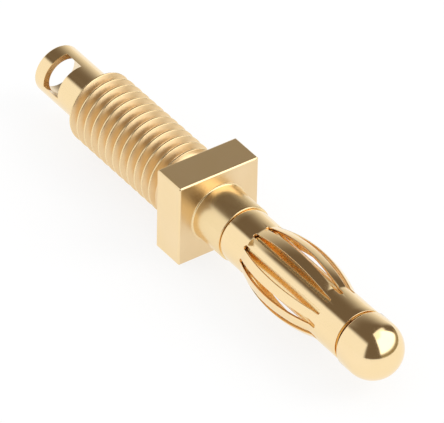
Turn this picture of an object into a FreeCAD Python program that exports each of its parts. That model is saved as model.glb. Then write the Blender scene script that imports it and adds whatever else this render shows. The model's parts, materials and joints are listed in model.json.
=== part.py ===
# Four millimetre banana plug with a square panel flange, a threaded shank and a solder cup.
# It is two pieces: a body turned in one piece from bar, and a slotted spring cage round its pin.
# The plug lies along X with its nose towards +X, and Z is up, square to a flat of the flange.
# The origin is on the axis, in the face of the flange that seats on a panel.
# All sizes are in millimetres and all angles in degrees.
import FreeCAD, Part
import math
import os

from FreeCAD import Vector

# Flange
FLANGE_SIDE = 6.0
FLANGE_THICKNESS = 2.5
FLANGE_EDGE = 0.08

# Threaded shank, here a plain cylinder at the outer diameter of its fine thread
THREAD_DIAMETER = 5.0
THREAD_LENGTH = 10.95
THREAD_END_CHAMFER = 0.3

# Solder cup at the tail
CUP_DIAMETER = 3.5
CUP_LENGTH = 4.6
CUP_EDGE = 0.08
BORE_DIAMETER = 2.6
BORE_DEPTH = 3.6
BORE_TIP_ANGLE = 118.0
WINDOW_LENGTH = 1.6
WINDOW_WIDTH = 2.56
WINDOW_FROM_END = 1.0
WINDOW_ANGLE = 135.0

# Neck, pin and nose
NECK_DIAMETER = 3.95
NECK_LENGTH = 2.75
NECK_FOOT = 0.1
SHOULDER_EDGE = 0.06
NOSE_DIAMETER = 3.95
NOSE_STRAIGHT = 1.1

# Spring cage, rolled from slotted sheet
CAGE_DIAMETER = 3.75
CAGE_SHEET = 0.2
CAGE_LENGTH = 12.13
CAGE_REAR_COLLAR = 2.2
BULGE_LENGTH = 7.2
BULGE_DIAMETER = 4.95
BEND_RADIUS = 0.4
RIB_COUNT = 12
RIB_WIDTH = 0.7
SLOT_PAST_REAR_BEND = 0.12
SLOT_PAST_FRONT_BEND = 0.62
SLOT_ANGLE = 114.0
SEAM_SLOT = 6
SEAM_WIDTH = 0.12

# Clearances
CAGE_CLEARANCE = 0.1
CAGE_REAR_PLAY = 0.05
CAGE_FRONT_PLAY = 0.27

# Radii and stations along the axis that follow from the sizes above
thread_radius = THREAD_DIAMETER / 2
cup_radius = CUP_DIAMETER / 2
bore_radius = BORE_DIAMETER / 2
neck_radius = NECK_DIAMETER / 2
nose_radius = NOSE_DIAMETER / 2
cage_radius = CAGE_DIAMETER / 2
pin_radius = cage_radius - CAGE_SHEET - CAGE_CLEARANCE

thread_end_x = -THREAD_LENGTH
cup_end_x = thread_end_x - CUP_LENGTH
neck_end_x = FLANGE_THICKNESS + NECK_LENGTH
cage_rear_x = neck_end_x + CAGE_REAR_PLAY
cage_front_x = cage_rear_x + CAGE_LENGTH
bulge_rear_x = cage_rear_x + CAGE_REAR_COLLAR
bulge_front_x = bulge_rear_x + BULGE_LENGTH
bulge_middle_x = (bulge_rear_x + bulge_front_x) / 2
nose_rear_x = cage_front_x + CAGE_FRONT_PLAY
dome_x = nose_rear_x + NOSE_STRAIGHT
nose_tip_x = dome_x + nose_radius

AXIS = Vector(1, 0, 0)
ORIGIN = Vector(0, 0, 0)


def at(x, radius):
    """Point of a half section, in the plane through the axis and Z."""
    return Vector(x, 0, radius)


def turned(edges):
    """Solid turned about the axis from the edges of a closed half section."""
    face = Part.Face(Part.Wire(edges))
    return face.revolve(ORIGIN, AXIS, 360)


def run(points):
    """Straight edges that join the points in turn."""
    return [Part.makeLine(a, b) for a, b in zip(points, points[1:])]


def turned_blank():
    """Body as turned, without the square of its flange, and solid at the tail."""
    foot_radius = neck_radius + NECK_FOOT
    sides = run([
        at(cup_end_x, 0),
        at(cup_end_x, cup_radius - CUP_EDGE),
        at(cup_end_x + CUP_EDGE, cup_radius),
        at(thread_end_x, cup_radius),
        at(thread_end_x, thread_radius - THREAD_END_CHAMFER),
        at(thread_end_x + THREAD_END_CHAMFER, thread_radius),
        at(FLANGE_THICKNESS / 2, thread_radius),
        at(FLANGE_THICKNESS / 2, foot_radius),
        at(FLANGE_THICKNESS, foot_radius),
        at(FLANGE_THICKNESS + NECK_FOOT, neck_radius),
        at(neck_end_x - SHOULDER_EDGE, neck_radius),
        at(neck_end_x, neck_radius - SHOULDER_EDGE),
        at(neck_end_x, pin_radius),
        at(nose_rear_x, pin_radius),
        at(nose_rear_x, nose_radius - SHOULDER_EDGE),
        at(nose_rear_x + SHOULDER_EDGE, nose_radius),
        at(dome_x, nose_radius),
    ])
    dome = Part.Arc(
        at(dome_x, nose_radius),
        at(dome_x + nose_radius * math.sqrt(0.5), nose_radius * math.sqrt(0.5)),
        at(nose_tip_x, 0),
    ).toShape()
    axis_line = run([at(nose_tip_x, 0), at(cup_end_x, 0)])
    return turned(sides + [dome] + axis_line)


def square_flange():
    """Square flange with its edges broken."""
    half = FLANGE_SIDE / 2
    block = Part.makeBox(FLANGE_THICKNESS, FLANGE_SIDE, FLANGE_SIDE, Vector(0, -half, -half))
    return block.makeChamfer(FLANGE_EDGE, block.Edges)


def cup_bore():
    """Drilled bore of the solder cup, with the cone that a drill leaves."""
    mouth_x = cup_end_x - CUP_EDGE
    floor_x = cup_end_x + BORE_DEPTH
    cone = bore_radius / math.tan(math.radians(BORE_TIP_ANGLE / 2))
    return turned(run([
        at(mouth_x, 0),
        at(mouth_x, bore_radius),
        at(floor_x, bore_radius),
        at(floor_x + cone, 0),
        at(mouth_x, 0),
    ]))


def cup_window():
    """Cross slot through one wall of the cup, which lets solder and wire be seen."""
    start_x = cup_end_x + WINDOW_FROM_END
    depth = cup_radius + CUP_EDGE
    slot = Part.makeBox(WINDOW_LENGTH, depth, WINDOW_WIDTH, Vector(start_x, 0, -WINDOW_WIDTH / 2))
    slot.rotate(ORIGIN, AXIS, WINDOW_ANGLE)
    return slot


def plug_body():
    """Body turned in one piece: solder cup, threaded shank, flange, neck, pin and nose."""
    body = turned_blank().fuse(square_flange())
    return body.cut([cup_bore(), cup_window()])


def bulge_arc_radius():
    """Radius of the ribs' outer arc, from the bulge's length and height."""
    half = BULGE_LENGTH / 2
    height = BULGE_DIAMETER / 2 - cage_radius
    return (half * half + height * height) / (2 * height)


def sheet_line(inset):
    """Edges along the cage's sheet, inset from its outer face, from the rear end to the front."""
    radius = bulge_arc_radius()
    centre_z = BULGE_DIAMETER / 2 - radius
    bend_z = cage_radius + BEND_RADIUS
    reach = math.sqrt((radius + BEND_RADIUS) ** 2 - (bend_z - centre_z) ** 2)
    arc_radius = radius - inset
    bend = BEND_RADIUS + inset
    collar = cage_radius - inset
    slope = math.asin(reach / (radius + BEND_RADIUS))
    meet_x = arc_radius * math.sin(slope)
    meet_z = centre_z + arc_radius * math.cos(slope)
    half_turn_x = reach - bend * math.sin(slope / 2)
    half_turn_z = bend_z - bend * math.cos(slope / 2)
    edges = [Part.makeLine(at(cage_rear_x, collar), at(bulge_middle_x - reach, collar))]
    edges.append(Part.Arc(
        at(bulge_middle_x - reach, collar),
        at(bulge_middle_x - half_turn_x, half_turn_z),
        at(bulge_middle_x - meet_x, meet_z),
    ).toShape())
    edges.append(Part.Arc(
        at(bulge_middle_x - meet_x, meet_z),
        at(bulge_middle_x, BULGE_DIAMETER / 2 - inset),
        at(bulge_middle_x + meet_x, meet_z),
    ).toShape())
    edges.append(Part.Arc(
        at(bulge_middle_x + meet_x, meet_z),
        at(bulge_middle_x + half_turn_x, half_turn_z),
        at(bulge_middle_x + reach, collar),
    ).toShape())
    edges.append(Part.makeLine(at(bulge_middle_x + reach, collar), at(cage_front_x, collar)))
    return edges


def cage_shell():
    """Closed sleeve of bulged sheet, before it is slotted."""
    inner_radius = cage_radius - CAGE_SHEET
    rear = Part.makeLine(at(cage_rear_x, inner_radius), at(cage_rear_x, cage_radius))
    front = Part.makeLine(at(cage_front_x, cage_radius), at(cage_front_x, inner_radius))
    section = [rear] + sheet_line(0) + [front] + sheet_line(CAGE_SHEET)[::-1]
    return turned(section)


def slot_half_width(radius):
    """Half the gap between two neighbouring ribs of constant width, at a radius."""
    half_pitch = math.radians(180 / RIB_COUNT)
    half_rib = RIB_WIDTH / 2
    edge_height = math.sqrt(radius * radius - half_rib * half_rib)
    return edge_height * math.sin(half_pitch) - half_rib * math.cos(half_pitch)


def rib_slot():
    """Cutter for one slot, round at both ends and widest where the ribs bow out most."""
    end_half = slot_half_width(cage_radius)
    middle_half = slot_half_width(BULGE_DIAMETER / 2)
    rear_x = bulge_rear_x - SLOT_PAST_REAR_BEND
    front_x = bulge_front_x + SLOT_PAST_FRONT_BEND
    rear_start_x = rear_x + end_half
    front_start_x = front_x - end_half
    floor_y = pin_radius / 2

    def point(x, across):
        return Vector(x, floor_y, across)

    def side(sign):
        return Part.Arc(
            point(rear_start_x, sign * end_half),
            point(bulge_middle_x, sign * middle_half),
            point(front_start_x, sign * end_half),
        ).toShape()

    def end(start_x, tip_x):
        return Part.Arc(
            point(start_x, end_half),
            point(tip_x, 0),
            point(start_x, -end_half),
        ).toShape()

    outline = Part.Wire([side(1), end(front_start_x, front_x), side(-1), end(rear_start_x, rear_x)])
    return Part.Face(outline).extrude(Vector(0, BULGE_DIAMETER / 2, 0))


def cage_seam():
    """Cutter for the gap where the two edges of the rolled sheet meet."""
    start = Vector(cage_rear_x - CAGE_REAR_PLAY, pin_radius / 2, -SEAM_WIDTH / 2)
    length = CAGE_LENGTH + 2 * CAGE_REAR_PLAY
    return Part.makeBox(length, cage_radius, SEAM_WIDTH, start)


def contact_cage():
    """Spring cage: two collars joined by ribs that bow out to grip a socket."""
    cutters = []
    for number in range(RIB_COUNT):
        slot = rib_slot()
        slot.rotate(ORIGIN, AXIS, SLOT_ANGLE + number * 360 / RIB_COUNT)
        cutters.append(slot)
    seam = cage_seam()
    seam.rotate(ORIGIN, AXIS, SLOT_ANGLE + SEAM_SLOT * 360 / RIB_COUNT)
    cutters.append(seam)
    return cage_shell().cut(cutters)


def save(name, shape):
    """Write one node, and print what it holds."""
    solid = shape.Solids[0]
    box = solid.BoundBox
    print(
        name, "solids", len(shape.Solids), "valid", shape.isValid(),
        "volume %.3f" % solid.Volume, "faces", len(solid.Faces),
        "x %.3f to %.3f" % (box.XMin, box.XMax), "z %.3f to %.3f" % (box.ZMin, box.ZMax),
    )
    solid.exportStep("parts/%s.step" % name)


os.makedirs("parts", exist_ok=True)
save("plug_body", plug_body())
save("contact_cage", contact_cage())
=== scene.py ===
# %% [markdown]
# # A gold-plated banana plug
#
# The plug is 36 mm long and has two metal pieces. One is a body that was turned from square
# brass bar: solder cup, threaded shank, square flange, neck, a thin pin and a round nose. The
# other is a cage of springy sheet that sits round the pin and presses against a socket. Both
# were plated with gold after they were shaped.
#
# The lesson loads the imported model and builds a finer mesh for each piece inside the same
# sizes. Then both get their gold. At the end come the studio that the metal mirrors and the
# camera.

# %% Load the frame
import json
import math

import bmesh
import bpy
from mathutils import Matrix, Vector

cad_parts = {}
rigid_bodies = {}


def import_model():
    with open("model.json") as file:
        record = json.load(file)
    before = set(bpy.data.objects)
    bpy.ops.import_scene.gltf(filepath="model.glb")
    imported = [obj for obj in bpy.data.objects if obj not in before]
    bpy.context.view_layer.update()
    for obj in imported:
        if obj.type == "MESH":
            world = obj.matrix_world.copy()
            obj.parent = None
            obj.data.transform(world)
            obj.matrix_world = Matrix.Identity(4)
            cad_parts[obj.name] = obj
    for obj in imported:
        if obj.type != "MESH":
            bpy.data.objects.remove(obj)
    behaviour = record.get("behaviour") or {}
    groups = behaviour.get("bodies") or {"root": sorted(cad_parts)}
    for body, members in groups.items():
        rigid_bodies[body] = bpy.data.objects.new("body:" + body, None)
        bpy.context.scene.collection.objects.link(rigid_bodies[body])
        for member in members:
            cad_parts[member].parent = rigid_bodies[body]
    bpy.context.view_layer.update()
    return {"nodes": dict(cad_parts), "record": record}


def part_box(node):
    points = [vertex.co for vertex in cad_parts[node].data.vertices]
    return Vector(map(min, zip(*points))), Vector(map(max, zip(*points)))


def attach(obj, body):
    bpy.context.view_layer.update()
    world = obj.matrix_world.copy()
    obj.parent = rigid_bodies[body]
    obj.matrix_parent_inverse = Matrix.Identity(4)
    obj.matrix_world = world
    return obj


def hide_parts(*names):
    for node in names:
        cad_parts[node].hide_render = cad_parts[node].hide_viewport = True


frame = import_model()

print("packed nodes:", sorted(frame["nodes"]))

# %% [markdown]
# ## Sizes
#
# The model is in metres and a plug this small is thought of in millimetres, so each size is
# written in millimetres and multiplied once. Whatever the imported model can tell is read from
# it: where each piece starts and ends, and the radii of the thread and the bore from the
# record's mounts. The small details that no box can tell are named here.

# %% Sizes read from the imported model
MM = 0.001
body_low, body_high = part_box("plug_body")
cage_low, cage_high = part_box("contact_cage")
mounts = {mount["name"]: mount for mount in frame["record"]["mounts"]}
thread_radius = mounts["panel_thread"]["dims"]["r_mm"] * MM
bore_radius = mounts["solder_cup"]["dims"]["r_mm"] * MM
bore_depth = mounts["solder_cup"]["dims"]["length_mm"] * MM
cup_end_x = body_low.x
nose_tip_x = body_high.x
flange_half = body_high.z
cage_rear_x = cage_low.x
cage_front_x = cage_high.x
bulge_radius = cage_high.z
print("plug length %.2f mm" % ((nose_tip_x - cup_end_x) / MM))
print("flange side %.2f mm, cage %.2f mm across" % (2 * flange_half / MM, 2 * bulge_radius / MM))

# %% Sizes of the turned body
CUP_RADIUS = 1.75 * MM
CUP_EDGE = 0.08 * MM
BORE_EDGE = 0.03 * MM
BORE_TIP_ANGLE = math.radians(118)
WINDOW_LENGTH = 1.6 * MM
WINDOW_WIDTH = 2.56 * MM
WINDOW_FROM_END = 1.0 * MM
WINDOW_ANGLE = math.radians(135)
WINDOW_EDGE = 0.035 * MM
THREAD_LENGTH = 10.95 * MM
THREAD_END_CHAMFER = 0.3 * MM
FLANGE_THICKNESS = 2.5 * MM
FLANGE_EDGE = 0.08 * MM
NECK_RADIUS = 1.975 * MM
NECK_FILLET = 0.12 * MM
SHOULDER_EDGE = 0.06 * MM
NOSE_REAR_EDGE = 0.1 * MM
PIN_RADIUS = 1.575 * MM
CAGE_REAR_PLAY = 0.05 * MM
CAGE_FRONT_PLAY = 0.27 * MM
neck_end_x = cage_rear_x - CAGE_REAR_PLAY
nose_rear_x = cage_front_x + CAGE_FRONT_PLAY
dome_x = nose_tip_x - NECK_RADIUS
thread_end_x = -THREAD_LENGTH
print("thread ends at %.2f mm, nose starts at %.2f mm" % (thread_end_x / MM, nose_rear_x / MM))

# %% [markdown]
# ## Rings of points
#
# A lathe makes every surface as a circle about its axis, so the body is built the same way. A
# ring is a circle of points at one place along the axis, and a skin of four-sided faces joins
# each ring to the next. A spin modifier would do the round stretches too, but the flange is
# square and the thread is a helix. With plain rings all three share one mesh, as they share
# one bar.

# %% Rings
SIDES = 160
TURNS = [math.tau * number / SIDES for number in range(SIDES)]
ARC_STEPS = 3


def on_ring(x, radius, turn):
    """Point at an angle about the axis, counted from +Y towards +Z."""
    return Vector((x, radius * math.cos(turn), radius * math.sin(turn)))


def round_ring(x, radius):
    """Circle of points about the axis."""
    return [on_ring(x, radius, turn) for turn in TURNS]


def arc_rings(centre_x, centre_radius, size, start, stop, steps=ARC_STEPS):
    """Round rings along an arc of the half section, with its angles counted from the axis."""
    angles = [start + (stop - start) * step / steps for step in range(steps + 1)]
    return [
        round_ring(centre_x + size * math.cos(angle), centre_radius + size * math.sin(angle))
        for angle in angles
    ]


print("points on a ring:", SIDES, "which are %.2f degrees apart" % (360 / SIDES))

# %% Skin over rings


def skin(mesh, rings, shift=0):
    """Join each ring to the next. A helix meets itself shift rings further on after a turn."""
    rows = [[mesh.verts.new(point) for point in ring] for ring in rings]
    for number in range(len(rows) - 1):
        for side in range(SIDES):
            wraps = side + 1 == SIDES
            ahead = number + (shift if wraps else 0)
            if ahead + 1 >= len(rows):
                continue
            across = 0 if wraps else side + 1
            mesh.faces.new((
                rows[number][side],
                rows[ahead][across],
                rows[ahead + 1][across],
                rows[number + 1][side],
            ))


print("faces between two rings:", SIDES)

# %% [markdown]
# ## Solder cup
#
# The tail is a short tube. A drill made its bore, which is why the bore ends in a cone, and a
# wire is soldered into it. The mouth has its outer edge rounded, as a file or a form tool
# leaves it.

# %% Rings of the solder cup


def cup_rings():
    """From the drilled cone's tip, out of the bore, round the mouth and along the outside."""
    floor_x = cup_end_x + bore_depth
    cone = bore_radius / math.tan(BORE_TIP_ANGLE / 2)
    rings = [
        round_ring(floor_x + cone, 0),
        round_ring(floor_x, bore_radius),
        round_ring(cup_end_x + BORE_EDGE, bore_radius),
        round_ring(cup_end_x, bore_radius + BORE_EDGE),
    ]
    edge_x, edge_radius = cup_end_x + CUP_EDGE, CUP_RADIUS - CUP_EDGE
    rings += arc_rings(edge_x, edge_radius, CUP_EDGE, math.pi, math.pi / 2)
    rings.append(round_ring(thread_end_x, CUP_RADIUS))
    return rings


print("solder cup rings:", len(cup_rings()))

# %% [markdown]
# ## Thread
#
# A coarse metric thread of 5 mm has a pitch of 0.8 mm and flanks at 60 degrees to each other.
# Displacement or a bump map would blur its crests, and a screw modifier leaves ends that are
# hard to close. Here every ring follows the helix instead, so that edges of the mesh run along
# the crests and roots and stay crisp. Rings that would run past the shank's ends are held at
# the ends, and the points that fall together there are merged later. Near the flange the
# groove grows shallow and runs out, as where a die is backed off.

# %% Form of the thread
THREAD_PITCH = 0.8 * MM
THREAD_DEPTH = 0.486 * MM
# A crest is an eighth of the pitch wide
THREAD_CREST_HALF = THREAD_PITCH / 16
FLANK_ANGLE = math.radians(60)
FLANK_SLOPE = 1 / math.tan(FLANK_ANGLE / 2)
CREST_ROUNDING = 0.016 * MM
ROOT_ROUNDING = 0.05 * MM
CREST_X = -5.72 * MM
CREST_TURN = math.radians(133)
RUNOUT_START = 0.95 * MM
RUNOUT_END = 0.3 * MM


def rounded_step(lower, upper, rounding):
    """The larger of two values, with a rounded change from one to the other."""
    return (lower + upper + math.hypot(lower - upper, rounding)) / 2


def thread_surface(x, turn):
    """Radius of the threaded shank at a place along it and an angle about it."""
    crest_x = CREST_X + THREAD_PITCH * (turn - CREST_TURN) / math.tau
    away = abs((x - crest_x + THREAD_PITCH / 2) % THREAD_PITCH - THREAD_PITCH / 2)
    flank = (away - THREAD_CREST_HALF) * FLANK_SLOPE
    drop = rounded_step(0, flank, CREST_ROUNDING)
    drop = -rounded_step(-THREAD_DEPTH, -drop, ROOT_ROUNDING)
    fade = min(max((-x - RUNOUT_END) / (RUNOUT_START - RUNOUT_END), 0), 1)
    chamfer = max(THREAD_END_CHAMFER - (x - thread_end_x), 0)
    return thread_radius - max(drop * fade, chamfer)


root_depth = thread_radius - thread_surface(CREST_X + THREAD_PITCH / 2, CREST_TURN)
print("thread is %.3f mm deep" % (root_depth / MM))

# %% Rings that follow the helix
LEAD_IN_TURNS = 2
SPARE_TURNS = 3
# Places across one ridge, in distances from the crest's middle. They lie close together at the
# crest and in the root, where the form turns, and far apart on the flanks.
HALF_STATIONS = [step * MM for step in (0.03, 0.045, 0.06, 0.08, 0.17, 0.26, 0.29, 0.32, 0.35)]
MIRRORED = [-place for place in reversed(HALF_STATIONS)]
STATIONS = [-THREAD_PITCH / 2] + MIRRORED + [0.0] + HALF_STATIONS


def thread_rings():
    """Rings that follow the helix, from the shank's open end to the flange."""
    turns = math.ceil(THREAD_LENGTH / THREAD_PITCH) + SPARE_TURNS
    offset = (CREST_X - THREAD_PITCH * CREST_TURN / math.tau - thread_end_x) % THREAD_PITCH
    start_x = thread_end_x + offset - LEAD_IN_TURNS * THREAD_PITCH
    rings = []
    for number in range(turns):
        for station in STATIONS:
            ring = []
            for turn in TURNS:
                helix_x = start_x + THREAD_PITCH * (number + turn / math.tau) + station
                x = min(max(helix_x, thread_end_x), 0)
                ring.append(on_ring(x, thread_surface(x, turn), turn))
            rings.append(ring)
    return rings


print("thread rings:", len(thread_rings()), "of which each turn has", len(STATIONS))

# %% [markdown]
# ## Flange, neck, pin and nose
#
# The flange keeps the square of the bar, with its edges just broken, because a knife edge
# would catch no light. Its rings are squares with small cut corners that have as many points
# as the circles do, so the skin runs straight from the round shank over the flat face to the
# square side. A bevel modifier could break the edges, but it would also round the thread.
# The nose ends in half a ball.

# %% Square rings of the flange
FLANGE_SIDES = 4
FLANGE_ARRIS = 0.012 * MM
# A ring this far inside an edge keeps the shading of the flat face flat
FLANGE_SUPPORT = 5 * FLANGE_ARRIS


def square_ring(x, half, corner):
    """Square of points with cut corners, each near the angle of a circle's same point."""
    quarter = SIDES // FLANGE_SIDES
    ring = []
    for number in range(SIDES):
        side, step = divmod(number + quarter // 2, quarter)
        along = (half - corner) * (2 * step / (quarter - 1) - 1)
        turn = side * math.tau / FLANGE_SIDES
        ring.append(Vector((
            x,
            half * math.cos(turn) - along * math.sin(turn),
            half * math.sin(turn) + along * math.cos(turn),
        )))
    return ring


def flange_rings():
    """From the back face's rim, over both broken edges and the side, to the front face's."""
    soft = FLANGE_ARRIS
    places = (
        (0, FLANGE_EDGE + FLANGE_SUPPORT),
        (0, FLANGE_EDGE + soft),
        (soft / 2, FLANGE_EDGE - soft / 2),
        (FLANGE_EDGE - soft / 2, soft / 2),
        (FLANGE_EDGE + soft, 0),
        (FLANGE_EDGE + FLANGE_SUPPORT, 0),
    )
    back = [square_ring(x, flange_half - inset, FLANGE_EDGE) for x, inset in places]
    front = [
        square_ring(FLANGE_THICKNESS - x, flange_half - inset, FLANGE_EDGE)
        for x, inset in reversed(places)
    ]
    return back + front


print("flange rings:", len(flange_rings()))

# %% Rings of the neck, the pin and the nose
DOME_STEPS = 22
NECK_SUPPORT = 1.4 * NECK_FILLET


def front_rings():
    """From the foot of the neck on the flange to the tip of the nose."""
    quarter = math.pi / 2
    foot_x, foot_radius = FLANGE_THICKNESS + NECK_FILLET, NECK_RADIUS + NECK_FILLET
    rings = [round_ring(FLANGE_THICKNESS, NECK_RADIUS + NECK_SUPPORT)]
    rings += arc_rings(foot_x, foot_radius, NECK_FILLET, math.pi, 3 * quarter)
    edge_x, edge_radius = neck_end_x - SHOULDER_EDGE, NECK_RADIUS - SHOULDER_EDGE
    rings += arc_rings(edge_x, edge_radius, SHOULDER_EDGE, quarter, 0)
    rings += [round_ring(neck_end_x, PIN_RADIUS), round_ring(nose_rear_x, PIN_RADIUS)]
    edge_x, edge_radius = nose_rear_x + NOSE_REAR_EDGE, NECK_RADIUS - NOSE_REAR_EDGE
    rings += arc_rings(edge_x, edge_radius, NOSE_REAR_EDGE, math.pi, quarter)
    rings += arc_rings(dome_x, 0, NECK_RADIUS, quarter, 0, DOME_STEPS)
    return rings


print("front rings:", len(front_rings()))

# %% [markdown]
# ## One body
#
# The real body is one piece of brass, so its three skins are joined into one closed mesh. They
# could overlap and be left as they are, but then thin slivers would show where they cross.
# Points that lie together are merged, and the faces are turned to look outwards.

# %% Join the body
MERGE_DISTANCE = 0.0001 * MM


def new_piece(name, mesh):
    """Object with its origin at the frame's origin, made from a mesh under construction."""
    data = bpy.data.meshes.new(name)
    mesh.to_mesh(data)
    mesh.free()
    piece = bpy.data.objects.new(name, data)
    bpy.context.collection.objects.link(piece)
    return piece


def joined_body():
    """Closed mesh of the turned body, before its window is cut."""
    mesh = bmesh.new()
    thread = thread_rings()
    skin(mesh, cup_rings() + thread[:1])
    skin(mesh, thread, len(STATIONS))
    skin(mesh, thread[-1:] + flange_rings() + front_rings())
    bmesh.ops.remove_doubles(mesh, verts=mesh.verts, dist=MERGE_DISTANCE)
    bmesh.ops.recalc_face_normals(mesh, faces=mesh.faces)
    return new_piece("turned_body", mesh)


def open_edges(piece):
    """How many edges of a piece don't join exactly two faces. A closed skin has none."""
    joined = {}
    for face in piece.data.polygons:
        for key in face.edge_keys:
            joined[key] = joined.get(key, 0) + 1
    return sum(1 for count in joined.values() if count != 2)


body = joined_body()
print("turned body:", len(body.data.polygons), "faces,", open_edges(body), "open edges")

# %% [markdown]
# ## Window in the cup
#
# A window lets the solder and the eye reach the wire. On the real cup a milling cutter made it
# across the tube, so here a block is taken away from the mesh. Building the opening face by
# face would give tidier faces, but the cut follows the bore and the outside by itself. Its rim
# then gets a small bevel, which is the thin bright line seen round such a cut. A lengthwise
# edge of the mesh that lies closer to the window than the bevel is wide would make the bevel
# fold over, so such edges are dissolved first.

# %% Cut the window


def finished(piece):
    """Give a piece the mesh that its modifiers make, and drop the modifiers."""
    graph = bpy.context.evaluated_depsgraph_get()
    made = bpy.data.meshes.new_from_object(piece.evaluated_get(graph))
    piece.modifiers.clear()
    piece.data = made


def window_block():
    """Block of the size of the milled window, from the axis outwards."""
    mesh = bmesh.new()
    bmesh.ops.create_cube(mesh, size=1)
    depth = 2 * CUP_RADIUS
    size = Matrix.Diagonal((WINDOW_LENGTH, depth, WINDOW_WIDTH, 1))
    middle_x = cup_end_x + WINDOW_FROM_END + WINDOW_LENGTH / 2
    turn = Matrix.Rotation(WINDOW_ANGLE, 4, "X")
    mesh.transform(turn @ Matrix.Translation((middle_x, depth / 2, 0)) @ size)
    return new_piece("window_block", mesh)


block = window_block()
cut = body.modifiers.new("window", "BOOLEAN")
cut.operation = "DIFFERENCE"
cut.solver = "EXACT"
cut.object = block
finished(body)
bpy.data.objects.remove(block)
print("faces after the cut:", len(body.data.polygons))

# %% Bevel its rim
NEAR = 0.002 * MM
RIM_STEPS = 2


def turned_to_window(place):
    """Where a place comes to lie when the body is turned until the window faces +Y."""
    return Matrix.Rotation(-WINDOW_ANGLE, 3, "X") @ place


def off_outside(place):
    """How far a place lies off the cup's outside."""
    return abs(math.hypot(place.y, place.z) - CUP_RADIUS)


def on_window_rim(edge):
    """True for an edge that lies where the window breaks through the cup's outside."""
    start_x = cup_end_x + WINDOW_FROM_END
    stop_x = start_x + WINDOW_LENGTH
    for vertex in edge.verts:
        turned = turned_to_window(vertex.co)
        beyond = abs(turned.z) - WINDOW_WIDTH / 2
        on_end = abs(turned.x - start_x) < NEAR or abs(turned.x - stop_x) < NEAR
        within = start_x - NEAR < turned.x < stop_x + NEAR and beyond < NEAR
        on_outside = turned.y > 0 and off_outside(turned) < 5 * NEAR
        if not (on_outside and within and (on_end or abs(beyond) < NEAR)):
            return False
    return True


def crowds_the_rim(edge):
    """True for a lengthwise edge of the cup's outside that the bevel would run over."""
    if edge.calc_length() < 2 * WINDOW_LENGTH:
        return False
    for vertex in edge.verts:
        turned = turned_to_window(vertex.co)
        beyond = abs(turned.z) - WINDOW_WIDTH / 2
        if turned.y < 0 or off_outside(turned) > NEAR or not NEAR < beyond < WINDOW_EDGE:
            return False
    return True


mesh = bmesh.new()
mesh.from_mesh(body.data)
crowding = [edge for edge in mesh.edges if crowds_the_rim(edge)]
bmesh.ops.dissolve_edges(mesh, edges=crowding, use_verts=False)
rim = [edge for edge in mesh.edges if on_window_rim(edge)]
bmesh.ops.bevel(
    mesh, geom=rim, offset=WINDOW_EDGE, segments=RIM_STEPS, profile=0.5, affect="EDGES",
    clamp_overlap=True,
)
mesh.to_mesh(body.data)
mesh.free()
print("edges dissolved:", len(crowding), "and bevelled:", len(rim))
print("turned body:", len(body.data.polygons), "faces,", open_edges(body), "open edges")

# %% [markdown]
# ## Spring cage
#
# The cage starts as flat sheet 0.2 mm thick. Slots are punched in it, the strips between them
# are pressed outwards, and the sheet is rolled round the pin, with a narrow seam where its
# edges meet. A solidify and a bevel modifier on a plain grid would stumble over the crowded
# points at the slots' round ends. Here each rib is a stack of layers instead: the sheet's
# outside, a small rounded edge, its inside. Every layer follows the slot's outline, set back
# into the metal a little more or less. So the ends are round and each rib keeps its width
# while it bows.

# %% Form of the sheet
CAGE_RADIUS = 1.875 * MM
SHEET = 0.2 * MM
REAR_COLLAR = 2.2 * MM
BULGE_LENGTH = 7.2 * MM
BEND_RADIUS = 0.4 * MM
bulge_rear_x = cage_rear_x + REAR_COLLAR
bulge_front_x = bulge_rear_x + BULGE_LENGTH
middle_x = (bulge_rear_x + bulge_front_x) / 2
bulge_height = bulge_radius - CAGE_RADIUS
arc_radius = ((BULGE_LENGTH / 2) ** 2 + bulge_height ** 2) / (2 * bulge_height)
arc_centre = bulge_radius - arc_radius
bend_centre = CAGE_RADIUS + BEND_RADIUS
bend_reach = math.sqrt((arc_radius + BEND_RADIUS) ** 2 - (bend_centre - arc_centre) ** 2)
arc_reach = bend_reach * arc_radius / (arc_radius + BEND_RADIUS)


def sheet_at(x):
    """Radius of the sheet's outside at a place along the axis, and its slope there."""
    away = x - middle_x
    if abs(away) >= bend_reach:
        return CAGE_RADIUS, 0.0
    if abs(away) >= arc_reach:
        short = bend_reach - abs(away)
        rise = math.sqrt(BEND_RADIUS ** 2 - short ** 2)
        return bend_centre - rise, -math.copysign(short / rise, away)
    rise = math.sqrt(arc_radius ** 2 - away ** 2)
    return arc_centre + rise, -away / rise


print("ribs bow out by %.2f mm on an arc of %.1f mm" % (bulge_height / MM, arc_radius / MM))

# %% Outline of a slot
RIB_COUNT = 12
RIB_WIDTH = 0.7 * MM
SLOT_PAST_REAR_BEND = 0.12 * MM
SLOT_PAST_FRONT_BEND = 0.62 * MM
SIDE_STEPS = 110
END_STEPS = 7
rib_pitch = math.tau / RIB_COUNT


def slot_half_width(radius):
    """Half the gap between two neighbouring ribs of constant width, at a radius."""
    height = math.sqrt(radius ** 2 - (RIB_WIDTH / 2) ** 2)
    return height * math.sin(rib_pitch / 2) - RIB_WIDTH / 2 * math.cos(rib_pitch / 2)


slot_end_half = slot_half_width(CAGE_RADIUS)
swell = slot_half_width(bulge_radius) - slot_end_half
rear_start_x = bulge_rear_x - SLOT_PAST_REAR_BEND + slot_end_half
front_start_x = bulge_front_x + SLOT_PAST_FRONT_BEND - slot_end_half
slot_middle_x = (rear_start_x + front_start_x) / 2
half_chord = (front_start_x - rear_start_x) / 2
side_drop = (half_chord ** 2 - (middle_x - slot_middle_x) ** 2 - swell ** 2) / (2 * swell)
side_radius = math.hypot(half_chord, side_drop)
side_lean = math.asin(half_chord / side_radius)


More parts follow.
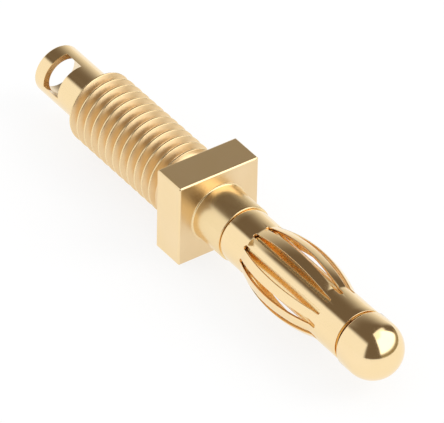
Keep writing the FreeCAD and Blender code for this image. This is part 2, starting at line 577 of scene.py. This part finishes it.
def slot_outline(inset):
    """Places along a slot's side and its half width there, set back into the metal."""
    quarter = math.pi / 2
    arcs = (
        (rear_start_x, 0, slot_end_half, math.pi, quarter, END_STEPS, 0),
        (slot_middle_x, slot_end_half - side_drop, side_radius,
         quarter + side_lean, quarter - side_lean, SIDE_STEPS, 1),
        (front_start_x, 0, slot_end_half, quarter, 0, END_STEPS, 0),
    )
    points = []
    for centre_x, centre_half, radius, start, stop, steps, skipped in arcs:
        for step in range(skipped, steps + 1 - skipped):
            angle = start + (stop - start) * step / steps
            half = centre_half + (radius + inset) * math.sin(angle)
            points.append((centre_x + (radius + inset) * math.cos(angle), max(half, 0.0)))
    return points


print("slot half width from %.2f to %.2f mm" % (
    slot_end_half / MM, (slot_end_half + swell) / MM))

# %% Rows and layers of the sheet
COLLAR_STEPS = 4
RIB_COLUMNS = 12
SLOT_ANGLE = math.radians(114)
SEAM_SLOT = 6
SEAM_WIDTH = 0.12 * MM
SHEET_EDGE = 0.03 * MM
EDGE_STEPS = 3


def sheet_rows(inset):
    """Places along the axis and half widths of the slot, from rear edge to front edge."""
    outline = slot_outline(inset)
    ends = ((cage_rear_x + inset, outline[0][0]), (outline[-1][0], cage_front_x - inset))
    rear, front = [
        [(start + (stop - start) * step / COLLAR_STEPS, 0.0) for step in range(COLLAR_STEPS + 1)]
        for start, stop in ends
    ]
    return rear[:-1] + outline + front[1:]


def edge_profile():
    """Insets and depths from the sheet's outside, over both rounded corners, to its inside."""
    corner = []
    for step in range(EDGE_STEPS + 1):
        angle = math.pi / 2 * step / EDGE_STEPS
        corner.append((SHEET_EDGE * (1 - math.sin(angle)), SHEET_EDGE * (1 - math.cos(angle))))
    return corner + [(inset, SHEET - depth) for inset, depth in reversed(corner)]


def rib_layer(rib, inset, depth):
    """Points over one rib and its share of both collars, at one inset and one depth."""
    seam_half = SEAM_WIDTH / 2 + inset
    layer = []
    for x, half in sheet_rows(inset):
        outside, slope = sheet_at(x)
        lean = 1 / math.hypot(1, slope)
        place_x, radius = x + depth * slope * lean, outside - depth * lean
        first = max(half, seam_half) if rib == SEAM_SLOT else half
        last = max(half, seam_half) if (rib + 1) % RIB_COUNT == SEAM_SLOT else half
        start = SLOT_ANGLE + rib * rib_pitch + math.asin(first / radius)
        stop = SLOT_ANGLE + (rib + 1) * rib_pitch - math.asin(last / radius)
        layer.append([
            on_ring(place_x, radius, start + (stop - start) * column / RIB_COLUMNS)
            for column in range(RIB_COLUMNS + 1)
        ])
    return layer


print("rows of the sheet:", len(sheet_rows(0.0)), "and layers:", len(edge_profile()))

# %% Skin of the cage


def open_sides(rib, row, last_row):
    """Columns at which a rib has a free edge in a row: both in the slots, one at the seam."""
    if COLLAR_STEPS <= row < last_row - COLLAR_STEPS:
        return 0, RIB_COLUMNS
    beside_seam = ((0, rib == SEAM_SLOT), (RIB_COLUMNS, (rib + 1) % RIB_COUNT == SEAM_SLOT))
    return tuple(column for column, beside in beside_seam if beside)


def cage_mesh():
    """Sheet of the cage with its slots, its seam and its thickness."""
    mesh = bmesh.new()
    profile = edge_profile()
    deepest = len(profile) - 1
    last_row = len(sheet_rows(0.0)) - 1
    for rib in range(RIB_COUNT):
        layers = [rib_layer(rib, inset, depth) for inset, depth in profile]
        made = {}

        def patch(*corners):
            for layer, row, column in corners:
                if (layer, row, column) not in made:
                    made[layer, row, column] = mesh.verts.new(layers[layer][row][column])
            mesh.faces.new([made[corner] for corner in corners])

        for row in range(last_row):
            for column in range(RIB_COLUMNS):
                for layer in (0, deepest):
                    patch(
                        (layer, row, column), (layer, row + 1, column),
                        (layer, row + 1, column + 1), (layer, row, column + 1),
                    )
        for layer in range(deepest):
            for row in range(last_row):
                for column in open_sides(rib, row, last_row):
                    patch(
                        (layer, row, column), (layer, row + 1, column),
                        (layer + 1, row + 1, column), (layer + 1, row, column),
                    )
            for column in range(RIB_COLUMNS):
                for row in (0, last_row):
                    patch(
                        (layer, row, column), (layer, row, column + 1),
                        (layer + 1, row, column + 1), (layer + 1, row, column),
                    )
    bmesh.ops.remove_doubles(mesh, verts=mesh.verts, dist=MERGE_DISTANCE)
    bmesh.ops.recalc_face_normals(mesh, faces=mesh.faces)
    return mesh


cage = new_piece("spring_cage", cage_mesh())
print("spring cage:", len(cage.data.polygons), "faces,", open_edges(cage), "open edges")

# %% [markdown]
# ## Shading of edges
#
# Metal that was cut has crisp edges between smooth surfaces. Faces are shaded smooth, edges
# sharper than about thirty degrees stay sharp, and normals are weighted by area, so that a
# flat face stays flat up to its bevel. More subdivision would do it too, at many more faces.

# %% Smooth faces with sharp edges
SHARP_ANGLE = math.radians(32)
LARGE_FACE_WEIGHT = 60


def shade(piece):
    """Smooth shading with sharp edges and normals that follow the large faces."""
    piece.data.shade_smooth()
    piece.data.set_sharp_from_angle(angle=SHARP_ANGLE)
    weighted = piece.modifiers.new("weighted normals", "WEIGHTED_NORMAL")
    weighted.keep_sharp = True
    weighted.weight = LARGE_FACE_WEIGHT
    finished(piece)


for piece in (body, cage):
    shade(piece)
    print(piece.name, "triangles:", sum(len(face.vertices) - 2 for face in piece.data.polygons))

# %% True normals round the window
# The cut leaves long thin faces in the cup's wall, so their normals are written from the
# cylinder itself, and the reflections run on past the window without a kink.
FACES_OUTWARDS = 0.99


def outwards_at(place):
    """Direction straight away from the axis at a place."""
    return Vector((0, place.y, place.z)).normalized()


normals = [corner.vector.copy() for corner in body.data.corner_normals]
written = 0
for face in body.data.polygons:
    on_cup = cup_end_x + CUP_EDGE - NEAR < face.center.x < thread_end_x + NEAR
    if not on_cup or face.normal.dot(outwards_at(face.center)) < FACES_OUTWARDS:
        continue
    for loop in face.loop_indices:
        place = body.data.vertices[body.data.loops[loop].vertex_index].co
        if off_outside(place) < NEAR:
            normals[loop] = outwards_at(place)
            written += 1
body.data.normals_split_custom_set(normals)
print("normals written on the cup:", written)

# %% [markdown]
# ## Gold over brass
#
# Every surface is the same thin electroplated gold. What differs is the brass beneath, because
# plating copies it. The cup and the nose were polished and are close to mirrors. The neck is
# satin from the lathe, the thread is dull and grainy, the flange has drawn flats and ends cut
# across by a parting tool. The thread's flanks and the flange's ends are also painted a darker
# gold, which is painted shade. Deep places got a thinner coat. The rolled sheet of the cage is a
# mirror again.
#
# Gold is a metal, so its colour is the colour of its reflections, and the look is mostly
# roughness and very shallow marks. A picture of scratches would need an unwrapped mesh. Noise
# that is stretched along the way the tool moved needs none, and it fits every piece. The marks
# are drawn about 0.03 mm apart, which is coarser than real ones, so that they still show.

# %% Helpers for materials
# A Mix node for colours takes them at its sockets 6 and 7, and gives the result at socket 2
MIX_FIRST, MIX_SECOND, MIX_RESULT = 6, 7, 2


def linear(colour):
    """Linear colour from an sRGB hex value."""
    parts = [int(colour[start:start + 2], 16) / 255 for start in (1, 3, 5)]
    return [
        part / 12.92 if part <= 0.04045 else ((part + 0.055) / 1.055) ** 2.4 for part in parts
    ] + [1.0]


def add(tree, kind, inputs=None, **settings):
    """Add a node with its settings, and give each named input a value or link it."""
    node = tree.nodes.new(kind)
    for name, value in settings.items():
        setattr(node, name, value)
    for name, value in (inputs or {}).items():
        if isinstance(value, bpy.types.NodeSocket):
            tree.links.new(value, node.inputs[name])
        else:
            node.inputs[name].default_value = value
    return node


print("mid grey in linear light: %.3f" % linear("#808080")[0])

# %% Marks of the tools
MARK_SPACING = 0.03 * MM


def lathe_marks(tree, stretch):
    """Coordinates of marks from a lathe: shares along the axis, out from it and round it."""
    place = add(tree, "ShaderNodeTexCoord")
    split = add(tree, "ShaderNodeSeparateXYZ", {0: place.outputs["Object"]})
    y, z = split.outputs["Y"], split.outputs["Z"]
    across = add(tree, "ShaderNodeCombineXYZ", {"Y": y, "Z": z})
    radius = add(tree, "ShaderNodeVectorMath", {0: across.outputs[0]}, operation="LENGTH")
    turn = add(tree, "ShaderNodeMath", {0: z, 1: y}, operation="ARCTAN2")
    lathe = add(tree, "ShaderNodeCombineXYZ", {
        "X": split.outputs["X"], "Y": radius.outputs["Value"], "Z": turn.outputs[0],
    })
    scales = (stretch[0] / MARK_SPACING, stretch[1] / MARK_SPACING, stretch[2])
    marks = add(tree, "ShaderNodeVectorMath", {
        0: lathe.outputs[0], 1: scales,
    }, operation="MULTIPLY")
    return marks.outputs[0]


def bar_marks(tree, stretch):
    """Coordinates of marks from a straight pull: shares along X, Y and Z."""
    place = add(tree, "ShaderNodeTexCoord")
    scales = tuple(share / MARK_SPACING for share in stretch)
    marks = add(tree, "ShaderNodeVectorMath", {
        0: place.outputs["Object"], 1: scales,
    }, operation="MULTIPLY")
    return marks.outputs[0]


print("marks %.2f mm apart" % (MARK_SPACING / MM))

# %% Gold plating
GOLD_PALE = "#FCE3B8"
GOLD_DEEP = "#F8DDA9"
PATCH_SIZE = 2.5 * MM
# Nearly all values of a noise lie between these two
NOISE_LOW, NOISE_HIGH = 0.3, 0.7


def gold_plate(name, colours, roughness, spread, marks_at, stretch, mark_height):
    """Gold in two close tones over metal whose fine marks show through."""
    material = bpy.data.materials.new(name)
    material.use_nodes = True
    tree = material.node_tree
    shader = tree.nodes["Principled BSDF"]
    shader.inputs["Metallic"].default_value = 1.0
    place = add(tree, "ShaderNodeTexCoord")
    patches = add(tree, "ShaderNodeTexNoise", {
        "Vector": place.outputs["Object"], "Scale": 1 / PATCH_SIZE, "Detail": 3.0,
    })
    colour = add(tree, "ShaderNodeMix", {
        "Factor": patches.outputs["Fac"],
        MIX_FIRST: linear(colours[0]), MIX_SECOND: linear(colours[1]),
    }, data_type="RGBA")
    tree.links.new(colour.outputs[MIX_RESULT], shader.inputs["Base Color"])
    marks = add(tree, "ShaderNodeTexNoise", {
        "Vector": marks_at(tree, stretch), "Scale": 1.0, "Detail": 2.0,
    })
    rough = add(tree, "ShaderNodeMapRange", {
        "Value": marks.outputs["Fac"], "From Min": NOISE_LOW, "From Max": NOISE_HIGH,
        "To Min": roughness - spread, "To Max": roughness + spread,
    })
    tree.links.new(rough.outputs["Result"], shader.inputs["Roughness"])
    bump = add(tree, "ShaderNodeBump", {
        "Strength": 1.0, "Distance": mark_height, "Height": marks.outputs["Fac"],
    })
    tree.links.new(bump.outputs["Normal"], shader.inputs["Normal"])
    return material


print("gold between", GOLD_PALE, "and", GOLD_DEEP, "in patches of %.1f mm" % (PATCH_SIZE / MM))

# %% Finishes of the body
RINGS = (1, 1, 6)
TORN = (0.6, 0.6, 90)
PULLED = (0.1, 1, 1)
# Polished on the lathe: close to a mirror, with faint rings round the axis
polished = gold_plate(
    "gold_over_polished_brass", (GOLD_PALE, GOLD_DEEP), roughness=0.12, spread=0.02,
    marks_at=lathe_marks, stretch=RINGS, mark_height=0.0002 * MM)
# Turned and left as the tool cut it: satin, with rings round the axis
turned = gold_plate(
    "gold_over_turned_brass", ("#F7DFB2", "#F2D7A3"), roughness=0.25, spread=0.02,
    marks_at=lathe_marks, stretch=RINGS, mark_height=0.00008 * MM)
# Cut by a die, which tears the brass a little: dull flanks with a fine grain, in a darker gold
# that is painted shade of the grooves
cut_thread_painted_shade = gold_plate(
    "gold_over_cut_thread_painted_shade", ("#F5DAAE", "#EDCD9C"), roughness=0.36, spread=0.07,
    marks_at=lathe_marks, stretch=TORN, mark_height=0.0015 * MM)
# Drawn square bar: dull flats with faint lines along the bar
drawn_flats = gold_plate(
    "gold_over_drawn_bar", (GOLD_PALE, GOLD_DEEP), roughness=0.30, spread=0.02,
    marks_at=bar_marks, stretch=PULLED, mark_height=0.00005 * MM)
# The bar's faces across it, cut by a parting tool: duller, with rings, and painted a little darker
# as shade
faced_painted_shade = gold_plate(
    "gold_over_faced_brass_painted_shade", ("#F2D9B0", "#E8CC9E"), roughness=0.32, spread=0.04,
    marks_at=lathe_marks, stretch=RINGS, mark_height=0.0001 * MM)
# Deep places get less gold from the bath: satin, and each reflection deepens the colour
recessed = gold_plate(
    "thin_gold_in_recesses", ("#FDE5B4", "#FBE0A9"), roughness=0.25, spread=0.04,
    marks_at=lathe_marks, stretch=RINGS, mark_height=0.0003 * MM)
# Drilled and milled places of the cup: the thinnest coat, so the pale nickel shows through
drilled = gold_plate(
    "thin_gold_over_drilled_brass", ("#F8E8CC", "#F3E0C0"), roughness=0.28, spread=0.04,
    marks_at=lathe_marks, stretch=RINGS, mark_height=0.0003 * MM)
BODY_FINISHES = (polished, turned, cut_thread_painted_shade, drawn_flats, faced_painted_shade, recessed, drilled)
print("finishes of the body:", len(BODY_FINISHES))

# %% [markdown]
# ## Which finish goes where
#
# On the real body one surface ends where the next tool began. Separate objects would leave
# gaps in the mesh, and a painted mask would blur the borders. The body is one mesh here, and
# each of its faces takes a finish by its place: how far along the axis it lies and how far
# out. So the borders fall on the edges of the mesh and are as crisp as the real ones.

# %% Finish of each face
# How far from a plane the middle of a face may lie and still count as on it. The tail is all
# that lies behind the flange.
AT_CAGE = 0.001 * MM
AT_FLANGE = 0.005 * MM
AT_TAIL = 0.01 * MM
CUP_SKIN = 0.05 * MM


def body_finish(centre):
    """Finish at a place on the body, told by how far along and how far out it is."""
    out = math.hypot(centre.y, centre.z)
    if neck_end_x - AT_CAGE < centre.x < nose_rear_x + AT_CAGE:
        return recessed
    if cup_end_x + AT_TAIL < centre.x < thread_end_x and out < CUP_RADIUS - CUP_SKIN:
        return drilled
    if centre.x >= nose_rear_x or centre.x <= thread_end_x + AT_TAIL:
        return polished
    if centre.x < -AT_TAIL:
        on_crest = out > thread_radius - CREST_ROUNDING and centre.x < -RUNOUT_START
        # Flanks of the thread take the gold with painted shade, crests the turned gold
        return turned if on_crest or centre.x > -RUNOUT_END else cut_thread_painted_shade
    if centre.x < FLANGE_THICKNESS + AT_FLANGE and out > NECK_RADIUS + NECK_FILLET / 2:
        # Ends of the flange take the gold with painted shade
        on_end = min(abs(centre.x), abs(centre.x - FLANGE_THICKNESS)) < AT_FLANGE
        return faced_painted_shade if on_end else drawn_flats
    return turned


for material in BODY_FINISHES:
    body.data.materials.append(material)
for face in body.data.polygons:
    face.material_index = BODY_FINISHES.index(body_finish(face.center))
for number, material in enumerate(BODY_FINISHES):
    count = sum(face.material_index == number for face in body.data.polygons)
    print(material.name, count, "faces")

# %% Finishes of the cage
FACES_INWARDS = -0.5
# Rolled sheet: a mirror with the faintest haze
rolled_sheet = gold_plate(
    "gold_over_rolled_sheet", (GOLD_PALE, GOLD_DEEP), roughness=0.10, spread=0.02,
    marks_at=lathe_marks, stretch=(0.3, 0.3, 12), mark_height=0.0001 * MM)
for material in (rolled_sheet, recessed):
    cage.data.materials.append(material)
for face in cage.data.polygons:
    inside = face.normal.dot(outwards_at(face.center)) < FACES_INWARDS
    face.material_index = 1 if inside else 0
print("faces inside the cage:", sum(face.material_index for face in cage.data.polygons))

# %% [markdown]
# ## Join the pieces to the model
#
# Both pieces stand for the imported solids, which stay out of sight, and both ride on the one
# body of the model. The plug has no joint, because its ribs only flex.

# %% Place the pieces
for piece, node, slot in (
    (body, "plug_body", "gold_plated_brass"),
    (cage, "contact_cage", "gold_plated_spring_alloy"),
):
    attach(piece, "root")
    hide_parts(node)
    print(piece.name, "stands for", node)

# %% [markdown]
# ## Table and room
#
# The plug lies on white paper in a bright room. A bent sheet is often used as a backdrop, but
# from this high the table alone fills the picture, so it can be flat. The room lights it
# evenly from all sides, and one soft lamp gives the faint shadow under the plug.

# %% White table
TABLE_SIZE = 3.0
FIBRE_PATCHES = 20 * MM
# Matt white paper: no shine, and a white that is never quite the same in two places
paper = bpy.data.materials.new("white_paper_sweep")
paper.use_nodes = True
tree = paper.node_tree
paper_shader = tree.nodes["Principled BSDF"]
paper_shader.inputs["Roughness"].default_value = 0.7
paper_shader.inputs["Specular IOR Level"].default_value = 0.2
fibres = add(tree, "ShaderNodeTexNoise", {"Scale": 1 / FIBRE_PATCHES, "Detail": 4.0})
whites = add(tree, "ShaderNodeMix", {
    "Factor": fibres.outputs["Fac"],
    MIX_FIRST: linear("#FDFDFD"), MIX_SECOND: linear("#FFFFFF"),
}, data_type="RGBA")
tree.links.new(whites.outputs[MIX_RESULT], paper_shader.inputs["Base Color"])

table_mesh = bmesh.new()
bmesh.ops.create_grid(table_mesh, x_segments=8, y_segments=8, size=TABLE_SIZE)
table = new_piece("table", table_mesh)
table.location.z = body_low.z
table.data.materials.append(paper)
print("table at %.2f mm" % (table.location.z / MM))

# %% Plain white where the table is looked at
# Seen by the camera or in the metal, the paper is mostly plain white and keeps a share of the
# plug's soft shadow. The light that it throws on the plug stays that of the paper.
PLAIN_WHITE_SHARE = 0.8
path = add(tree, "ShaderNodeLightPath")
seen = path.outputs["Is Camera Ray"]
for other in ("Is Glossy Ray", "Is Transmission Ray"):
    seen = add(tree, "ShaderNodeMath", {
        0: seen, 1: path.outputs[other],
    }, operation="MAXIMUM").outputs[0]
share = add(tree, "ShaderNodeMath", {0: seen, 1: PLAIN_WHITE_SHARE}, operation="MULTIPLY")
plain = add(tree, "ShaderNodeEmission")
mixed = add(tree, "ShaderNodeMixShader", {
    0: share.outputs[0], 1: paper_shader.outputs[0], 2: plain.outputs[0],
})
tree.links.new(mixed.outputs[0], tree.nodes["Material Output"].inputs["Surface"])
print("plain white share of the table:", PLAIN_WHITE_SHARE)

# %% White room
# The room lights the plug a little below full white, and is plain white where a view looks
# past the table
ROOM_STRENGTH = 0.93
world = bpy.data.worlds.new("white_room")
bpy.context.scene.world = world
world.use_nodes = True
tree = world.node_tree
background = tree.nodes["Background"]
background.inputs["Color"].default_value = linear("#FFFFFF")
path = add(tree, "ShaderNodeLightPath")
strength = add(tree, "ShaderNodeMath", {
    0: path.outputs["Is Camera Ray"], 1: 1 - ROOM_STRENGTH, 2: ROOM_STRENGTH,
}, operation="MULTIPLY_ADD")
tree.links.new(strength.outputs[0], background.inputs["Strength"])
print("strength of the room:", ROOM_STRENGTH)

# %% Soft lamp
LAMP_SIZE = 0.3
LAMP_POWER = 0.9
LAMP_DISTANCE = 0.6
LAMP_AZIMUTH = 0.8
LAMP_ELEVATION = 0.7
lamp_data = bpy.data.lights.new("softbox_lamp", "AREA")
lamp_data.shape = "SQUARE"
lamp_data.size = LAMP_SIZE
lamp_data.energy = LAMP_POWER
lamp = bpy.data.objects.new("softbox_lamp", lamp_data)
bpy.context.collection.objects.link(lamp)
lamp_direction = Vector((
    math.cos(LAMP_AZIMUTH) * math.cos(LAMP_ELEVATION),
    math.sin(LAMP_AZIMUTH) * math.cos(LAMP_ELEVATION),
    math.sin(LAMP_ELEVATION),
))
lamp.location = lamp_direction * LAMP_DISTANCE
lamp.rotation_mode = "QUATERNION"
lamp.rotation_quaternion = lamp_direction.to_track_quat("Z", "Y")
lamp.visible_glossy = False
print("lamp power: %.1f W" % lamp_data.energy)

# %% [markdown]
# ## Tent of light
#
# Polished metal shows its surroundings, so they matter more than the lamps. In the photo the
# gold mirrors a dim room with a white wall on the right that fades upwards, a white board on
# the left, and in front on the right a softbox with a scrim up to the ceiling, over the darker
# edge of the table.
#
# Lamps alone can't make that, because each would show as a small bright spot, and real boards
# round the plug would change the light on the table. So it is a tent of light: a large dome
# that only reflections see, with soft-edged panels drawn on it by direction.

# %% Panels of the tent
# Angles are in degrees: from, to and softness. Azimuth is counted from the plug's +X towards
# +Y. The height is an elevation, or the rise over the left side where the board's top is level
# and so is measured square to it. A later panel hangs in front of an earlier one.
PANELS = [
    # Wall on the right, lit from below by the table
    {"measure": "elevation", "azimuth": (116, 200, 7), "height": (-70, 21, 30),
     "brightness": 1.0, "tint": "#FFFBF2"},
    # White board on the left
    {"measure": "rise to the left", "azimuth": (-172, -65, 6), "height": (-20, 53, 7),
     "brightness": 1.0, "tint": "#FFFFFF"},
    # Edge of the table in front, below the softbox
    {"measure": "elevation", "azimuth": (-6, 105, 4), "height": (-12, 12, 3),
     "brightness": 1.0, "tint": "#9C8E6E"},
    # Scrim that hangs from the softbox up to the ceiling
    {"measure": "elevation", "azimuth": (-8, 108, 6), "height": (45, 170, 8),
     "brightness": 1.3, "tint": "#FFFDF4"},
    # Softbox in front on the right
    {"measure": "elevation", "azimuth": (-8, 90, 4), "height": (14, 66, 6),
     "brightness": 1.9, "tint": "#FFFFFF"},
]


def hang_panel(tree, light, angles, panel):
    """Mix one panel over the light that is there already."""
    mask = None
    for angle, (start, stop, softness) in (
        (angles["azimuth"], panel["azimuth"]), (angles[panel["measure"]], panel["height"]),
    ):
        middle, half = math.radians((start + stop) / 2), math.radians((stop - start) / 2)
        soft = math.radians(softness)
        off = add(tree, "ShaderNodeMath", {0: angle, 1: middle}, operation="SUBTRACT")
        wrapped = add(tree, "ShaderNodeMath", {
            0: off.outputs[0], 1: math.pi, 2: -math.pi,
        }, operation="WRAP")
        far = add(tree, "ShaderNodeMath", {0: wrapped.outputs[0]}, operation="ABSOLUTE")
        edge = add(tree, "ShaderNodeMapRange", {
            "Value": far.outputs[0], "From Min": half + soft, "From Max": half - soft,
        }, interpolation_type="SMOOTHSTEP").outputs["Result"]
        if mask is None:
            mask = edge
        else:
            mask = add(tree, "ShaderNodeMath", {0: mask, 1: edge}, operation="MULTIPLY").outputs[0]
    glow = [part * panel["brightness"] for part in linear(panel["tint"])[:3]] + [1.0]
    return add(tree, "ShaderNodeMix", {
        "Factor": mask, MIX_FIRST: light, MIX_SECOND: glow,
    }, data_type="RGBA").outputs[MIX_RESULT]


print("tent panels:", len(PANELS))

# %% Hang the tent
TENT_RADIUS = 1.5
ROOM_DARK = "#706355"


def tent_material():
    """Emission drawn on the tent by direction from the plug."""
    material = bpy.data.materials.new("tent_of_light")
    material.use_nodes = True
    tree = material.node_tree
    tree.nodes.clear()
    place = add(tree, "ShaderNodeTexCoord")
    direction = add(tree, "ShaderNodeVectorMath", {
        0: place.outputs["Object"],
    }, operation="NORMALIZE")
    split = add(tree, "ShaderNodeSeparateXYZ", {0: direction.outputs[0]})
    x, y, z = (split.outputs[name] for name in "XYZ")
    left = add(tree, "ShaderNodeMath", {0: y, 1: -1.0}, operation="MULTIPLY").outputs[0]
    azimuth = add(tree, "ShaderNodeMath", {0: y, 1: x}, operation="ARCTAN2")
    elevation = add(tree, "ShaderNodeMath", {0: z}, operation="ARCSINE")
    rise = add(tree, "ShaderNodeMath", {0: z, 1: left}, operation="ARCTAN2")
    angles = {
        "azimuth": azimuth.outputs[0],
        "elevation": elevation.outputs[0],
        "rise to the left": rise.outputs[0],
    }
    light = linear(ROOM_DARK)
    for panel in PANELS:
        light = hang_panel(tree, light, angles, panel)
    emission = add(tree, "ShaderNodeEmission", {"Color": light})
    add(tree, "ShaderNodeOutputMaterial", {"Surface": emission.outputs[0]})
    return material


tent_mesh = bmesh.new()
bmesh.ops.create_uvsphere(tent_mesh, u_segments=96, v_segments=48, radius=TENT_RADIUS)
tent = new_piece("tent_of_light", tent_mesh)
tent.data.materials.append(tent_material())
tent.visible_camera = False
tent.visible_diffuse = False
tent.visible_shadow = False
tent.visible_transmission = False
print("tent radius: %.1f m" % TENT_RADIUS)

# %% [markdown]
# ## Camera
#
# The photo was taken from in front and above with a long lens, so that the plug hardly narrows
# with distance. The camera stands 0.4 m off and is turned by the photo's azimuth, elevation
# and small roll. A flat projection would come close too, but a real lens keeps the slight
# narrowing. Its length follows from how many image points one millimetre takes in the photo.
#
# Light in the slots and in the cup is thrown to and fro between gold walls many times, and
# with the usual few reflections such deep places turn black, so the scene allows more.

# %% Place the camera
IMAGE_WIDTH = 444
IMAGE_HEIGHT = 423
SENSOR_WIDTH = 36
CAMERA_AZIMUTH = math.radians(54.15)
CAMERA_ELEVATION = math.radians(37.94)
CAMERA_ROLL = math.radians(1.21)
CAMERA_DISTANCE = 0.4
POINTS_PER_MM = 16.004
TARGET = Vector((FLANGE_THICKNESS, 0, 0))
TARGET_IMAGE_X = 218.68
TARGET_IMAGE_Y = 211.74
REFLECTIONS = 24

back = Vector((
    math.sin(CAMERA_AZIMUTH) * math.cos(CAMERA_ELEVATION),
    -math.cos(CAMERA_AZIMUTH) * math.cos(CAMERA_ELEVATION),
    math.sin(CAMERA_ELEVATION),
))
level = Vector((math.cos(CAMERA_AZIMUTH), math.sin(CAMERA_AZIMUTH), 0))
upright = back.cross(level)
right = level * math.cos(CAMERA_ROLL) + upright * math.sin(CAMERA_ROLL)
up = upright * math.cos(CAMERA_ROLL) - level * math.sin(CAMERA_ROLL)
aside = (IMAGE_WIDTH / 2 - TARGET_IMAGE_X) / POINTS_PER_MM * MM
above = (TARGET_IMAGE_Y - IMAGE_HEIGHT / 2) / POINTS_PER_MM * MM
stand = TARGET + back * CAMERA_DISTANCE + right * aside + up * above

camera_data = bpy.data.cameras.new("camera")
camera_data.sensor_width = SENSOR_WIDTH
camera_data.lens = POINTS_PER_MM / MM * CAMERA_DISTANCE * SENSOR_WIDTH / IMAGE_WIDTH
camera = bpy.data.objects.new("camera", camera_data)
bpy.context.collection.objects.link(camera)
turn = Matrix((right, up, back)).transposed().to_4x4()
camera.matrix_world = Matrix.Translation(stand) @ turn
bpy.context.scene.camera = camera
bpy.context.scene.view_settings.view_transform = "Standard"
bpy.context.scene.cycles.max_bounces = REFLECTIONS
bpy.context.scene.cycles.glossy_bounces = REFLECTIONS
print("lens %.0f mm" % camera_data.lens)
